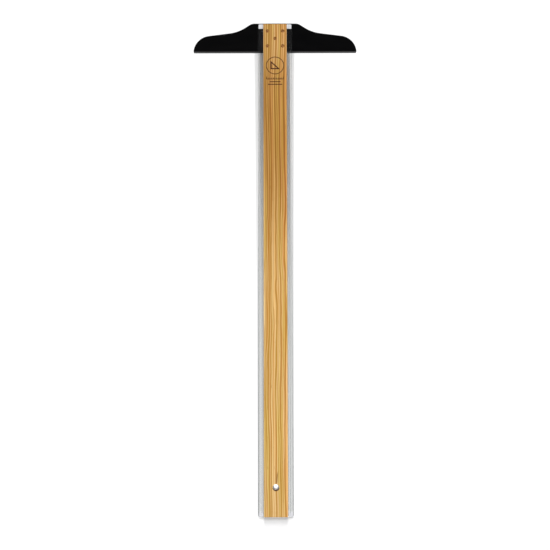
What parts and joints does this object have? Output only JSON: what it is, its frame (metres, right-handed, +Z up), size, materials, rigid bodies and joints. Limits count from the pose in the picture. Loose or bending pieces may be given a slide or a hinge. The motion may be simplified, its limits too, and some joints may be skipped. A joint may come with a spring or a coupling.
{
  "type": "t square",
  "caption": "Drawing T-square: wooden blade with clear ruling edges and a hanging hole, screwed square across a black plastic head with ogee wings.",
  "frame": {"origin": "where the blade's centre line crosses the top edge of the head's working face; z = 0 is the board's surface, the underside of the blade and the top of the head", "axes": "+X along the head's working face, +Y along the blade from the tip to the head, +Z up, away from the board"},
  "size_m": [0.2726, 0.8104, 0.0116],
  "materials": {
    "head_plastic": "satin black moulded plastic",
    "blade_wood": "thin satin varnish",
    "clear_acrylic": "clear polished acrylic",
    "pad_plastic": "pale grey, matte",
    "screw_brass": "plain brass, dull"
  },
  "bodies": {
    "root": {"head": "head_plastic", "blade_core": "blade_wood", "edge_strip_left": "clear_acrylic", "edge_strip_right": "clear_acrylic", "strip_pad_head_left": "pad_plastic", "strip_pad_head_right": "pad_plastic", "strip_pad_tip_left": "pad_plastic", "strip_pad_tip_right": "pad_plastic", "head_screws": "screw_brass"}
  },
  "joints": []
}
